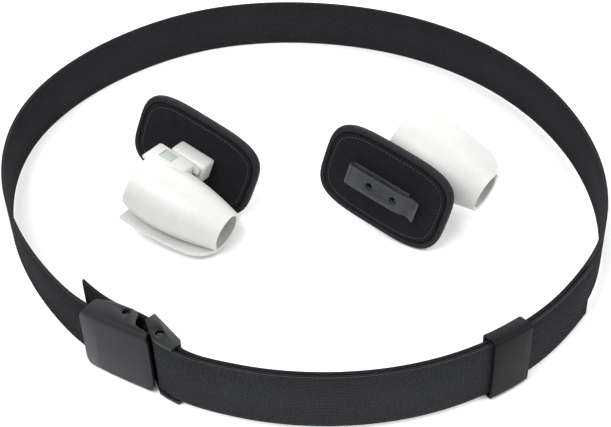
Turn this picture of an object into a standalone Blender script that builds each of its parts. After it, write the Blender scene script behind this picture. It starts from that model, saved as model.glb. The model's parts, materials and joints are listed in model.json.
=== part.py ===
"""A waist belt with a hook buckle, and the two clip-on pole holders that are worn on it.

Metres, +Z up. The belt stands on its lower edge as an open ring, and the holders stand inside it.
The origin is on the floor, under the middle of the whole object.
"""

import math

import bmesh
import bpy
import numpy as np
from mathutils import Euler, Matrix, Vector

# Belt
RING_WIDTH = 0.399
RING_DEPTH = 0.437
WEBBING_WIDTH = 0.038
WEBBING = 0.002
TAIL_LENGTH = 0.288
KEEPER_AT = 0.231
KEEPER_LENGTH = 0.026
KEEPER_WALL = 0.0016
KEEPER_ROUNDING = 0.0012
PLY_GAP = 0.0008

# Buckle
BUCKLE_TWIST = math.radians(4.6)
BUCKLE_STAND_OFF = 0.0031
COVER_LENGTH = 0.049
COVER_HEIGHT = WEBBING_WIDTH + 0.0056
COVER_WALL = 0.0016
COVER_BEND = 0.0038
COVER_LOWER_BEND = 0.0016
COVER_CORNER = 0.0078
COVER_LAND = 0.0014
COVER_PIN_RADIUS = 0.0021
CLAMP_PIN_RADIUS = 0.0021
HOOK_BAR_RADIUS = 0.0013
EAR_WALL = 0.0018
EAR_PLAY = 0.0005
PIN_SINK = 0.0010
EAR_SKIN = 0.0006
CLAMP_PLATE = 0.0012

# Pole holders, drawn with X towards the sleeve's narrow end, Y from the pad to the sleeve, Z to the flap
PAD_LENGTH = 0.095
PAD_HEIGHT = 0.0625
PAD_THICKNESS = 0.0062
PAD_SQUARENESS = 3.8
EDGING_RADIUS = 0.0027
EDGING_LAND = 0.0012
PAD_DOME = 0.0006
PLATE_INSET = 0.0030
STIFFENER = 0.0008
STEM_START = -0.0112
STEM_LENGTH = 0.027
STEM_WIDTH = 0.0156
STEM_REACH = 0.0142
RAIL_NECK = 0.0026
RAIL_HEAD = 0.0044
RAIL_HEIGHT = 0.0032
RAIL_INSET = 0.0020
RAIL_Z = -0.0043
STEM_ROUNDING = 0.0018
BOSS_LEAD = 0.0085
BOSS_LAG = 0.0060
BOSS_TOP = 0.3
BOSS_ROUNDING = 0.0016
SLEEVE_START = -0.0150
SLEEVE_LENGTH = 0.068
SLEEVE_RISE = 0.0014
SLEEVE_WIDE_RADIUS = 0.0205
SLEEVE_NARROW_RADIUS = 0.0138
SLEEVE_BULGE = 0.0022
SLEEVE_WALL = 0.0023
SLEEVE_TILT = math.radians(2.6)
SLEEVE_SLIDE = 0.030
FLAP_WIDTH = 0.0175
FLAP_CORNER = 0.0150
FLAP_LAND = 0.0012
SLEEVE_STATIONS = (*np.linspace(0, 0.78, 8), 0.85, 0.91, 0.955, 0.985, 1.0)
BUTTON_SIDE = 0.0090
BUTTON_THICKNESS = 0.0012
BUTTON_TRAVEL = 0.0012
BUTTON_FROM_STEM = 0.0040
BUTTON_LAND = 0.0012
CLIP_WIDTH = 0.0140
CLIP_START = -0.0250
CLIP_LENGTH = 0.0480
CLIP_WALL = 0.0012
CLIP_GAP = 0.0042
CLIP_BASE_SHORT = 0.0040
# The leaf's mouth: distances from the clip's end, and shares of the gap that it dips by
CLIP_MOUTH = ((-0.0110, 0.0), (-0.0045, 0.34), (-0.0008, 0.62), (0.0022, 0.53), (0.0050, 0.06))
CLIP_STEP = 0.0022
SCREW_RADIUS = 0.0015
SCREW_HEAD_RADIUS = 0.0026
SCREW_HEAD = 0.0012
SCREW_REACH = 0.0080
SCREW_AT = (-0.0070, 0.0114)

# Fits
CLEARANCE = 0.0003
SLACK = 0.0006
WELD = 0.000001
OVERCUT = 0.002
PLAN_STEP = 0.001
STRAP_STEP = 0.006
RING_STEP = 0.020

# Webbing paths: distances round the belt, and plan points of the buckle's frame
BUCKLE_CHORD = (-0.030, 0.060)
PLY_EASING = (0.006, 0.040)
MAIN_SPAN = (0.070, -0.045)
TAIL_START = 0.062
TAIL_TIP = (0.022, 0.0010)
FREE_END = ((-0.0400, 0.0083), (-0.0254, 0.0034), (-0.0090, 0.0002), (0.0030, -0.0004))
UNDER_CLAMP = ((0.0165, 0.0150), (0.0280, 0.0101), (0.0400, 0.0046), (0.0500, 0.0030))
INTO_COVER = (-0.0280, 0.0100)
EYE_START = ((-0.0140, 0.0004), (-0.0040, 0.0))
EYE_END = ((-0.0040, 1.62), (-0.0115, 1.18))
FROM_CLAMP = ((0.0360, 0.0008), (0.0450, -0.0002))

# Buckle shapes: the cover's bow as inset, slope and curvature, its side as seen from above, one clamp ear
COVER_BOW = (-0.0004, -0.045, 1.3)
COVER_SIDE = ((0.0180, 0.0036), (0.0132, 0.0048), (0.0112, 0.0080))
COVER_SIDE_BACK = ((0.0094, -0.0022), (0.0046, 0.0), (-0.0100, 0.0), (-0.0212, -0.0026))
COVER_SIDE_LEFT = (-0.0226, 0.0052)
COVER_SIDE_ENDS = 0.0034
LIP_WALL = 0.0014
CLAMP_EAR = (
    (0.0150, 0.0116), (0.0200, 0.0070), (0.0274, 0.0004), (0.0330, -0.0008), (0.0413, -0.0016),
    (0.0424, 0.0010), (0.0420, 0.0068), (0.0168, 0.0182),
)

# The belt's plan as shares of its half width and half depth, from the buckle and round by the right
BELT_PLAN = (
    (-0.515, -0.785), (-0.105, -0.975), (0.36, -0.965), (0.75, -0.735), (0.965, -0.36),
    (0.985, 0.065), (0.84, 0.47), (0.54, 0.795), (0.12, 0.975), (-0.34, 0.965),
    (-0.73, 0.735), (-0.965, 0.365), (-0.98, -0.055), (-0.815, -0.455),
)

# Where each holder stands: plan place, then turn about Z, lean about its long axis and nose-down roll
HOLDERS = {
    "left": {"at": (-0.0667, -0.0020), "turn": -28.7, "lean": -8.8, "roll": 18.5, "flip": True},
    "right": {"at": (0.0575, -0.0445), "turn": -34.5, "lean": -10.3, "roll": 13.4, "flip": False},
}

for old in list(bpy.data.objects):
    bpy.data.objects.remove(old, do_unlink=True)

parts = bpy.data.collections.new("pole_holder_belt")
cutters = bpy.data.collections.new("cutters")
cutters.hide_render = True
for collection in (parts, cutters):
    bpy.context.scene.collection.children.link(collection)


# ---------------------------------------------------------------- materials


def finish(name, colour, roughness, metallic=0.0):
    material = bpy.data.materials.get(name)
    if material:
        return material
    material = bpy.data.materials.new(name)
    material.use_nodes = True
    shader = material.node_tree.nodes["Principled BSDF"]
    shader.inputs["Base Color"].default_value = (*colour, 1)
    shader.inputs["Roughness"].default_value = roughness
    shader.inputs["Metallic"].default_value = metallic
    return material


def webbing_finish():
    return finish("charcoal_webbing", (0.022, 0.022, 0.026), 0.85)


def keeper_finish():
    return finish("black_moulding", (0.018, 0.018, 0.020), 0.45)


def buckle_finish():
    return finish("blackened_metal", (0.070, 0.070, 0.078), 0.42, 0.6)


def clamp_finish():
    return finish("green_black_metal", (0.050, 0.056, 0.053), 0.45, 0.6)


def pin_finish():
    return finish("steel_pin", (0.12, 0.12, 0.13), 0.35, 1.0)


def pad_finish():
    return finish("black_pad_cloth", (0.015, 0.015, 0.018), 0.8)


def edging_finish():
    return finish("black_edging", (0.028, 0.028, 0.032), 0.7)


def shell_finish():
    return finish("white_moulding", (0.80, 0.80, 0.78), 0.42)


def button_finish():
    return finish("grey_moulding", (0.66, 0.68, 0.67), 0.45)


def clip_finish():
    return finish("blue_grey_spring_steel", (0.075, 0.078, 0.095), 0.4, 0.7)


# ---------------------------------------------------------------- shapes


def add_part(name, mesh, parent, material, pivot=(0, 0, 0)):
    """Makes an object of a mesh drawn in its parent's frame, with the object's origin moved to pivot."""
    mesh.transform(Matrix.Translation(-Vector(pivot)))
    part = bpy.data.objects.new(name, mesh)
    part.location = pivot
    part.parent = parent
    part.data.materials.append(material)
    parts.objects.link(part)
    part.data.shade_smooth()
    part.data.set_sharp_from_angle(angle=math.radians(35))
    return part


def add_cutter(name, mesh, parent):
    cutter = bpy.data.objects.new(name, mesh)
    cutter.parent = parent
    cutter.hide_render = True
    cutter.display_type = "WIRE"
    cutters.objects.link(cutter)
    return cutter


def combine(part, operation, *others):
    for other in others:
        boolean = part.modifiers.new(f"{operation.lower()} {other.name}", "BOOLEAN")
        boolean.operation = operation
        boolean.solver = "EXACT"
        boolean.object = other


def solidify(part, thickness):
    wall = part.modifiers.new("wall", "SOLIDIFY")
    wall.thickness = thickness
    wall.offset = 0
    wall.use_even_offset = True


def finished(name, bm):
    mesh = bpy.data.meshes.new(name)
    bm.to_mesh(mesh)
    bm.free()
    return mesh


def box(name, low, high, round_by=0.0, segments=2):
    """A box between two corners, with every edge rounded if asked."""
    bm = bmesh.new()
    bmesh.ops.create_cube(bm, size=1)
    size = [b - a for a, b in zip(low, high)]
    middle = [(a + b) / 2 for a, b in zip(low, high)]
    bmesh.ops.scale(bm, vec=size, verts=bm.verts)
    bmesh.ops.translate(bm, vec=middle, verts=bm.verts)
    if round_by:
        bmesh.ops.bevel(bm, geom=bm.edges[:], offset=round_by, segments=segments, affect="EDGES", profile=0.5)
    return finished(name, bm)


def rod(name, radius, start, end, segments=20):
    """A cylinder from one point to another."""
    start, end = Vector(start), Vector(end)
    bm = bmesh.new()
    bmesh.ops.create_cone(
        bm,
        cap_ends=True,
        segments=segments,
        radius1=radius,
        radius2=radius,
        depth=(end - start).length,
    )
    turn = (end - start).to_track_quat("Z", "Y").to_matrix().to_4x4()
    bmesh.ops.transform(bm, matrix=Matrix.Translation((start + end) / 2) @ turn, verts=bm.verts)
    return finished(name, bm)


def flat_shape(name, outline, low, high):
    """A closed flat outline in X and Y, made a plate between two heights."""
    curve = bpy.data.curves.new(name, "CURVE")
    curve.dimensions = "2D"
    curve.fill_mode = "BOTH"
    curve.extrude = (high - low) / 2
    spline = curve.splines.new("POLY")
    spline.points.add(len(outline) - 1)
    for point, (x, y) in zip(spline.points, outline):
        point.co = (x, y, 0, 1)
    spline.use_cyclic_u = True
    guide = bpy.data.objects.new(name, curve)
    bpy.context.scene.collection.objects.link(guide)
    guide.location.z = (low + high) / 2
    graph = bpy.context.evaluated_depsgraph_get()
    mesh = bpy.data.meshes.new_from_object(guide.evaluated_get(graph))
    mesh.transform(Matrix.Translation(guide.location))
    bpy.data.objects.remove(guide, do_unlink=True)
    bpy.data.curves.remove(curve)
    bm = bmesh.new()
    bm.from_mesh(mesh)
    bmesh.ops.remove_doubles(bm, verts=bm.verts, dist=WELD)
    bmesh.ops.recalc_face_normals(bm, faces=bm.faces)
    bm.to_mesh(mesh)
    bm.free()
    return mesh


def loft(name, rings, closed_rings=True):
    """Skins rings of equal point counts into a capped solid, or into a sheet when the rings are open."""
    bm = bmesh.new()
    rows = [[bm.verts.new(point) for point in ring] for ring in rings]
    count = len(rows[0])
    for near, far in zip(rows, rows[1:]):
        for i in range(count if closed_rings else count - 1):
            j = (i + 1) % count
            bm.faces.new((near[i], near[j], far[j], far[i]))
    if closed_rings:
        bm.faces.new(rows[0][::-1])
        bm.faces.new(rows[-1])
    bmesh.ops.recalc_face_normals(bm, faces=bm.faces)
    return finished(name, bm)


def ribbon(name, path, low, high):
    """A strip standing on edge along a plan path, to be given its thickness by Solidify."""
    rings = [[(x, y, low), (x, y, high)] for x, y in path]
    return loft(name, rings, closed_rings=False)


# ---------------------------------------------------------------- plan curves


def second_slopes(points, lengths, closed):
    """The second derivatives of the cubic spline through the points."""
    count = len(points)
    system = np.eye(count)
    right = np.zeros((count, 2))
    for k in range(count if closed else count - 1):
        if not closed and k == 0:
            continue
        before, after = lengths[k - 1], lengths[k]
        following = (k + 1) % count
        system[k, k] = 2 * (before + after)
        system[k, k - 1] = before
        system[k, following] = after
        right[k] = 6 * (
            (points[following] - points[k]) / after - (points[k] - points[k - 1]) / before
        )
    return np.linalg.solve(system, right)


def smooth_path(points, step, closed=False):
    """Points a step apart on the smooth curve through the given ones."""
    points = np.array(points, float)
    ends = np.roll(points, -1, axis=0)
    lengths = np.hypot(*(ends - points).T)
    slopes = second_slopes(points, lengths, closed)
    fine = []
    for k in range(len(points) if closed else len(points) - 1):
        after = (k + 1) % len(points)
        h = lengths[k]
        u = np.linspace(0, h, 24, endpoint=False)[:, None]
        fine.append(
            slopes[k] * (h - u) ** 3 / (6 * h)
            + slopes[after] * u**3 / (6 * h)
            + (points[k] / h - slopes[k] * h / 6) * (h - u)
            + (points[after] / h - slopes[after] * h / 6) * u
        )
    fine.append(points[:1] if closed else points[-1:])
    fine = np.vstack(fine)
    along = np.concatenate([[0], np.cumsum(np.hypot(*np.diff(fine, axis=0).T))])
    wanted = np.linspace(0, along[-1], max(2, round(along[-1] / step) + 1))
    return np.column_stack([np.interp(wanted, along, fine[:, i]) for i in (0, 1)])


RING = smooth_path([(x * RING_WIDTH / 2, y * RING_DEPTH / 2) for x, y in BELT_PLAN], PLAN_STEP, closed=True)
RING_ALONG = np.concatenate([[0], np.cumsum(np.hypot(*np.diff(RING, axis=0).T))])
BELT_LENGTH = RING_ALONG[-1]


def on_ring(along, out=0.0):
    """The plan point this far round the belt from the buckle, moved outwards."""
    here, ahead = (
        np.array([np.interp(s % BELT_LENGTH, RING_ALONG, RING[:, i]) for i in (0, 1)])
        for s in (along, along + PLAN_STEP)
    )
    forward = (ahead - here) / np.hypot(*(ahead - here))
    return here + out * np.array([forward[1], -forward[0]])


def buckle_frame():
    """The buckle's place in plan: X along the belt to the right, Y towards the wearer."""
    chord = on_ring(BUCKLE_CHORD[1]) - on_ring(BUCKLE_CHORD[0])
    heading = math.atan2(chord[1], chord[0]) + BUCKLE_TWIST
    place = on_ring(0, BUCKLE_STAND_OFF)
    return Matrix.Translation((*place, 0)) @ Matrix.Rotation(heading, 4, "Z")


BUCKLE = buckle_frame()
COVER_PIN = (0.0020, 0.0114)
CLAMP_PIN = (0.0285, 0.0059)
HOOK_BAR = (0.0179, 0.0118)


def at_buckle(x, y):
    """A plan point of the buckle's own frame, in the belt's."""
    return np.array((BUCKLE @ Vector((x, y, 0)))[:2])


def arc(centre, radius, start, end, step=20):
    """Plan points on an arc, its angles in degrees."""
    count = max(2, round(abs(end - start) / step) + 1)
    angles = np.radians(np.linspace(start, end, count))
    return [(centre[0] + radius * math.cos(a), centre[1] + radius * math.sin(a)) for a in angles]


# ---------------------------------------------------------------- belt

HALF_WEBBING = WEBBING_WIDTH / 2
PLY_OFFSET = (WEBBING + PLY_GAP) / 2
FLANGE_TOP = COVER_HEIGHT / 2
FLANGE_DEPTH = COVER_PIN[1] + COVER_PIN_RADIUS + CLEARANCE + COVER_LAND
EAR_INSIDE = HALF_WEBBING + EAR_PLAY
EAR_TOP = EAR_INSIDE + EAR_WALL
PIN_TOP = EAR_TOP - PIN_SINK


def ply_shift(along):
    """How far the main ply sits inwards: half a pair of plies under the tail, easing to none past its tip."""
    start, length = PLY_EASING
    easing = np.clip((along - TAIL_LENGTH - start) / length, 0, 1)
    return -PLY_OFFSET * (1 - easing**2 * (3 - 2 * easing))


def eye_radius(pin_radius):
    """The radius of the middle of webbing wrapped round a pin."""
    return pin_radius + CLEARANCE + WEBBING / 2


def main_path():
    """From the free end behind the buckle, through the clamp, right round, and back to the cover's pin."""
    reach = eye_radius(COVER_PIN_RADIUS)
    flap = COVER_PIN[1] + reach + WEBBING + SLACK
    points = [at_buckle(x, flap + y) for x, y in FREE_END]
    points += [at_buckle(x, y) for x, y in UNDER_CLAMP]
    first, last = MAIN_SPAN[0], BELT_LENGTH + MAIN_SPAN[1]
    for along in np.linspace(first, last, round((last - first) / RING_STEP)):
        points.append(on_ring(along, ply_shift(along)))
    top = COVER_PIN[1] - reach
    points.append(at_buckle(*INTO_COVER))
    points += [at_buckle(x, top + y) for x, y in EYE_START]
    loop = arc(COVER_PIN, reach, -90, 100) + [(x, top + share * reach) for x, share in EYE_END]
    return list(smooth_path(points, STRAP_STEP)) + [at_buckle(x, y) for x, y in loop]


def tail_path():
    """The outer ply: hooked round the clamp's pin, then under the keeper to its free tip."""
    reach = eye_radius(CLAMP_PIN_RADIUS)
    hook = [at_buckle(x, y) for x, y in arc(CLAMP_PIN, reach, 160, 270)]
    points = [hook[-1]] + [at_buckle(x, y) for x, y in FROM_CLAMP]
    for along in np.linspace(TAIL_START, TAIL_LENGTH, round((TAIL_LENGTH - TAIL_START) / RING_STEP)):
        points.append(on_ring(along, PLY_OFFSET))
    points.append(on_ring(TAIL_LENGTH + TAIL_TIP[0], PLY_OFFSET + TAIL_TIP[1]))
    return hook[:-1] + list(smooth_path(points, STRAP_STEP))


def strap_main(parent):
    strap = add_part(
        "strap_main", ribbon("strap_main", main_path(), -HALF_WEBBING, HALF_WEBBING), parent, webbing_finish()
    )
    solidify(strap, WEBBING)


def strap_tail(parent):
    strap = add_part(
        "strap_tail", ribbon("strap_tail", tail_path(), -HALF_WEBBING, HALF_WEBBING), parent, webbing_finish()
    )
    solidify(strap, WEBBING)


def rounded_loop(across, upward, corner, steps=4):
    """A rounded rectangle about the origin, as (across, up) pairs."""
    points = []
    for start, sx, sy in ((0, 1, 1), (90, -1, 1), (180, -1, -1), (270, 1, -1)):
        for k in range(steps):
            angle = math.radians(start + 90 * k / (steps - 1))
            x = sx * (across - corner) + corner * math.cos(angle)
            points.append((x, sy * (upward - corner) + corner * math.sin(angle)))
    return points


def keeper_sizes():
    inside = WEBBING + PLY_OFFSET + SLACK
    return inside, HALF_WEBBING + SLACK


def keeper_solid(name, across, upward, corner, length):
    """A rounded rectangle swept along the belt's own curve, so that it slides along the plies."""
    rings = []
    for along in np.linspace(KEEPER_AT - length / 2, KEEPER_AT + length / 2, 6):
        rings.append(
            [(*on_ring(along, side), height) for side, height in rounded_loop(across, upward, corner)]
        )
    return loft(name, rings)


def keeper_loop(parent):
    across, upward = keeper_sizes()
    wall = KEEPER_WALL
    loop = add_part(
        "keeper_loop",
        keeper_solid("keeper_loop", across + wall, upward + wall, wall + KEEPER_ROUNDING, KEEPER_LENGTH),
        parent,
        keeper_finish(),
    )
    hollow = keeper_solid("keeper_hollow", across, upward, KEEPER_ROUNDING, KEEPER_LENGTH * 1.4)
    combine(loop, "DIFFERENCE", add_cutter("keeper_hollow", hollow, parent))


# ---------------------------------------------------------------- buckle


def cover_face(x):
    """The inward place of the face plate's middle: bowed outwards, and nearer the belt at its left."""
    inset, slope, bow = COVER_BOW
    return inset + slope * x + bow * x**2 + COVER_WALL / 2


def cover_fold(face, radius, half):
    """The (inward, up) points of a rounded fold from the face plate to a flange at half height."""
    angles = [math.radians(a) for a in (0, 30, 60, 90)]
    return [(face + radius * (1 - math.cos(a)), half - radius * (1 - math.sin(a))) for a in angles]


def cover_sheet():
    """The cover's middle surface: a face between two deep flanges, with a rounder fold above than below."""
    half = FLANGE_TOP - COVER_WALL / 2
    deep = FLANGE_DEPTH + OVERCUT
    rings = []
    for x in np.linspace(-COVER_LENGTH / 2, COVER_LENGTH / 2, 9):
        face = cover_face(x)
        upper = cover_fold(face, COVER_BEND, half) + [(deep, half)]
        lower = cover_fold(face, COVER_LOWER_BEND, half) + [(deep, half)]
        profile = [(y, -z) for y, z in reversed(lower)] + upper
        rings.append([(x, y, z) for y, z in profile])
    return loft("buckle_cover", rings, closed_rings=False)


def cover_side_limit():
    """Seen from above, all that the cover may fill: the face strip, and flanges shorter than it."""
    left, right = -COVER_LENGTH / 2 - OVERCUT, COVER_LENGTH / 2 + OVERCUT
    front = -COVER_HEIGHT / 4
    back = [(x, FLANGE_DEPTH + y) for x, y in COVER_SIDE_BACK]
    ends = [(right, COVER_SIDE_ENDS), *COVER_SIDE, *back, COVER_SIDE_LEFT, (left, COVER_SIDE_ENDS)]
    return [(left, front), (right, front), *ends]


def buckle_cover(parent):
    """Folded plate with flanges, a pin hole in each, and a lip inside that catches the hook bar."""
    hinge = (*COVER_PIN, 0)
    cover = add_part("buckle_cover", cover_sheet(), parent, buckle_finish(), pivot=hinge)
    solidify(cover, COVER_WALL)
    side = flat_shape("cover_side", cover_side_limit(), -FLANGE_TOP - OVERCUT, FLANGE_TOP + OVERCUT)
    corners = rounded_loop(COVER_LENGTH / 2, FLANGE_TOP + SLACK, COVER_CORNER, steps=6)
    front = flat_shape("cover_front", corners, -COVER_HEIGHT / 4, COVER_HEIGHT / 2)
    front.transform(Matrix.Rotation(math.pi / 2, 4, "X") @ Matrix.Scale(-1, 4, (0, 0, 1)))
    front.flip_normals()
    combine(cover, "INTERSECT", add_cutter("cover_side", side, parent))
    combine(cover, "INTERSECT", add_cutter("cover_front", front, parent))
    lip_x = HOOK_BAR[0] + HOOK_BAR_RADIUS + CLEARANCE
    lip = box(
        "cover_lip",
        (lip_x, cover_face(lip_x) - COVER_WALL / 4, -EAR_INSIDE + OVERCUT),
        (lip_x + LIP_WALL, HOOK_BAR[1] - CLEARANCE, EAR_INSIDE - OVERCUT),
    )
    combine(cover, "UNION", add_cutter("cover_lip", lip, parent))
    hole = rod("cover_pin_hole", COVER_PIN_RADIUS + CLEARANCE, (*COVER_PIN, -COVER_HEIGHT), (*COVER_PIN, COVER_HEIGHT))
    combine(cover, "DIFFERENCE", add_cutter("cover_pin_hole", hole, parent))


def buckle_pin(name, place, radius, reach, parent):
    pin = rod(name, radius, (*place, -reach), (*place, reach))
    add_part(name, pin, parent, pin_finish(), pivot=(*place, 0))


def clamp_frame(parent):
    """Two ears joined by a plate on the wearer's side; the hook bar ends inside the ears."""
    outline = CLAMP_EAR
    frame = add_part(
        "clamp_frame", flat_shape("clamp_frame", outline, EAR_INSIDE, EAR_TOP), parent, clamp_finish()
    )
    lower = flat_shape("clamp_lower_ear", outline, -EAR_TOP, -EAR_INSIDE)
    (x1, y1), (x2, y2) = outline[-1], outline[-2]
    back = [(x1, y1), (x1, y1 - CLAMP_PLATE), (x2, y2 - CLAMP_PLATE), (x2, y2)]
    plate_top = EAR_TOP - CLEARANCE
    back_plate = flat_shape("clamp_back", back, -plate_top, plate_top)
    combine(
        frame,
        "UNION",
        add_cutter("clamp_back", back_plate, parent),
        add_cutter("clamp_lower_ear", lower, parent),
    )
    for name, place, radius, reach in (
        ("clamp_pin_hole", CLAMP_PIN, CLAMP_PIN_RADIUS, EAR_TOP + EAR_SKIN),
        ("hook_bar_hole", HOOK_BAR, HOOK_BAR_RADIUS, EAR_TOP - EAR_SKIN),
    ):
        hole = rod(name, radius + CLEARANCE, (*place, -reach), (*place, reach))
        combine(frame, "DIFFERENCE", add_cutter(name, hole, parent))


# ---------------------------------------------------------------- pole holder


def pad_edge(inset, steps=48):
    """The pad's rounded outline, as (along, up) pairs, drawn in by inset."""
    power = 2 / PAD_SQUARENESS
    points = []
    for k in range(steps):
        angle = 2 * math.pi * k / steps
        c, s = math.cos(angle), math.sin(angle)
        points.append(
            (
                (PAD_LENGTH / 2 - inset) * math.copysign(abs(c) ** power, c),
                (PAD_HEIGHT / 2 - inset) * math.copysign(abs(s) ** power, s),
            )
        )
    return points


def slab(name, inset, near, far, dome=0.0):
    """A pad layer between two planes, its far face set in a little at the rim when domed."""
    rings = [[(x, near, z) for x, z in pad_edge(inset)], [(x, far - dome, z) for x, z in pad_edge(inset)]]
    if dome:
        rings.append([(x, far, z) for x, z in pad_edge(inset + 2.5 * abs(dome))])
    return loft(name, rings)


def screw_holes(tag, parent, near, far, radius):
    """Cutters for the two screws, from one Y to another."""
    return [
        add_cutter(f"{tag}_{k}", rod(f"{tag}_{k}", radius, (x, near, 0), (x, far, 0), 12), parent)
        for k, x in enumerate(SCREW_AT, 1)
    ]


PAD_HALF = PAD_THICKNESS / 2
PLATE_HALF = STIFFENER / 2
BASE_NEAR = -(PAD_HALF + CLEARANCE)
BASE_FAR = BASE_NEAR - CLIP_WALL
STEM_FOOT = PAD_HALF + CLEARANCE
STEM_TOP = STEM_FOOT + STEM_REACH
RAIL_TOP = STEM_TOP + RAIL_HEIGHT
STEM_X = (STEM_START, STEM_START + STEM_LENGTH)
STEM_Z = STEM_WIDTH / 2
BOSS_X = (STEM_X[0] - BOSS_LEAD, STEM_X[1] - BOSS_LAG)
CLIP_X = (CLIP_START, CLIP_START + CLIP_LENGTH)
SLEEVE_HEIGHT = SLEEVE_WIDE_RADIUS - STEM_Z + SLEEVE_RISE


def pads(side, parent):
    """Two cloth-covered foam layers with a stiffening plate between them and edging round them."""
    inset = 2 * EDGING_RADIUS - EDGING_LAND
    bore = SCREW_RADIUS + CLEARANCE
    front = slab(f"{side}_pad_front", inset, PLATE_HALF + CLEARANCE, PAD_HALF, PAD_DOME)
    back = slab(f"{side}_pad_back", inset, -PLATE_HALF - CLEARANCE, -PAD_HALF, -PAD_DOME)
    plate = slab(f"{side}_stiffener", inset + PLATE_INSET, -PLATE_HALF, PLATE_HALF)
    layers = (
        (f"{side}_pad_front", front, pad_finish()),
        (f"{side}_stiffener", plate, keeper_finish()),
        (f"{side}_pad_back", back, pad_finish()),
    )
    for name, mesh, material in layers:
        layer = add_part(name, mesh, parent, material)
        combine(layer, "DIFFERENCE", *screw_holes(f"{name}_hole", parent, -PAD_THICKNESS, PAD_THICKNESS, bore))
    pad_edging(side, parent, inset)


def pad_edging(side, parent, inset):
    """A rolled binding round the rim, with a flat inner face that the pads meet."""
    rings = []
    inner = EDGING_RADIUS - inset + CLEARANCE
    angles = [math.radians(a) for a in (-60, -30, 0, 30, 60)]
    outline = pad_edge(EDGING_RADIUS)
    for k, (x, z) in enumerate(outline):
        (x0, z0), (x1, z1) = outline[k - 1], outline[(k + 1) % len(outline)]
        length = math.hypot(x1 - x0, z1 - z0)
        out = ((z1 - z0) / length, -(x1 - x0) / length)
        section = [
            (EDGING_RADIUS * math.cos(a), PAD_HALF * math.sin(a) / math.sin(angles[-1])) for a in angles
        ]
        section += [(inner, PAD_HALF), (inner, -PAD_HALF)]
        rings.append([(x + r * out[0], y, z + r * out[1]) for r, y in section])
    bm = bmesh.new()
    rows = [[bm.verts.new(p) for p in ring] for ring in rings]
    for near, far in zip(rows, rows[1:] + rows[:1]):
        for i in range(len(near)):
            j = (i + 1) % len(near)
            bm.faces.new((near[i], near[j], far[j], far[i]))
    bmesh.ops.recalc_face_normals(bm, faces=bm.faces)
    add_part(f"{side}_pad_edging", finished(f"{side}_pad_edging", bm), parent, edging_finish())


def stem_block(side, parent):
    """The block that stands on the pad, with a T rail along its top for the sleeve."""
    name = f"{side}_stem_block"
    block = box(name, (STEM_X[0], STEM_FOOT, -STEM_Z), (STEM_X[1], STEM_TOP, STEM_Z), STEM_ROUNDING)
    stem = add_part(name, block, parent, shell_finish())
    rail_x = (STEM_X[0] + RAIL_INSET, STEM_X[1] - RAIL_INSET)
    neck = box(
        f"{side}_rail_neck",
        (rail_x[0], STEM_TOP - RAIL_INSET, RAIL_Z - RAIL_NECK / 2),
        (rail_x[1], RAIL_TOP - RAIL_HEIGHT / 3, RAIL_Z + RAIL_NECK / 2),
    )
    head = box(
        f"{side}_rail_head",
        (rail_x[0], STEM_TOP + RAIL_HEIGHT / 2, RAIL_Z - RAIL_HEAD / 2),
        (rail_x[1], RAIL_TOP, RAIL_Z + RAIL_HEAD / 2),
    )
    combine(stem, "DIFFERENCE", sleeve_sweep(side, parent))
    combine(stem, "UNION", add_cutter(f"{side}_rail_neck", neck, parent))
    combine(stem, "UNION", add_cutter(f"{side}_rail_head", head, parent))
    bore_end = STEM_FOOT + SCREW_REACH + OVERCUT
    bores = screw_holes(f"{side}_stem_bore", parent, 0, bore_end, SCREW_RADIUS + CLEARANCE)
    combine(stem, "DIFFERENCE", *bores)


def screws(side, parent):
    """Two screws whose heads lie on the clip's base and whose shanks reach into the stem."""
    head_near = BASE_FAR - CLEARANCE
    for k, x in enumerate(SCREW_AT, 1):
        name = f"{side}_screw_{k}"
        head = rod(name, SCREW_HEAD_RADIUS, (x, head_near, 0), (x, head_near - SCREW_HEAD, 0), 16)
        start, end = (x, head_near - SCREW_HEAD / 3, 0), (x, STEM_FOOT + SCREW_REACH, 0)
        shank = rod(f"{name}_shank", SCREW_RADIUS, start, end, 12)
        screw = add_part(name, head, parent, pin_finish())
        combine(screw, "UNION", add_cutter(f"{name}_shank", shank, parent))


def clip_base(side, parent):
    """The clip's fixed strip on the pad's back, with the bend at its wide end."""
    middle = BASE_NEAR - CLIP_WALL / 2
    reach = (CLIP_GAP + CLIP_WALL) / 2
    bend_x = CLIP_X[0] + reach
    path = [(CLIP_X[1] - CLIP_BASE_SHORT, middle), (0.0, middle)]
    path += arc((bend_x, middle - reach), reach, 90, 270, 22.5)
    sheet = [[(x, y, -CLIP_WIDTH / 2), (x, y, CLIP_WIDTH / 2)] for x, y in path]
    name = f"{side}_clip_base"
    base = add_part(name, loft(name, sheet, closed_rings=False), parent, clip_finish())
    solidify(base, CLIP_WALL)
    holes = screw_holes(f"{name}_hole", parent, BASE_NEAR + SLACK, BASE_FAR - SLACK, SCREW_RADIUS + CLEARANCE)
    combine(base, "DIFFERENCE", *holes)
    return bend_x, middle - 2 * reach


def clip_leaf(side, parent, start):
    """The springy outer leaf: straight, then dipping to the pad and flared out at its mouth."""
    x0, y0 = start[0] + CLEARANCE, start[1]
    mouth = [(CLIP_X[1] + x, y0 + dip * CLIP_GAP) for x, dip in CLIP_MOUTH]
    path = [(x0, y0)] + list(smooth_path(mouth, CLIP_STEP))
    sheet = [[(x, y, -CLIP_WIDTH / 2), (x, y, CLIP_WIDTH / 2)] for x, y in path]
    name = f"{side}_clip_leaf"
    leaf = add_part(name, loft(name, sheet, closed_rings=False), parent, clip_finish(), pivot=(x0, y0, 0))
    solidify(leaf, CLIP_WALL)
    holes = screw_holes(f"{name}_hole", parent, y0 - 2 * CLIP_WALL, y0 + 2 * CLIP_WALL, SCREW_HEAD_RADIUS)
    combine(leaf, "DIFFERENCE", *holes)


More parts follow.
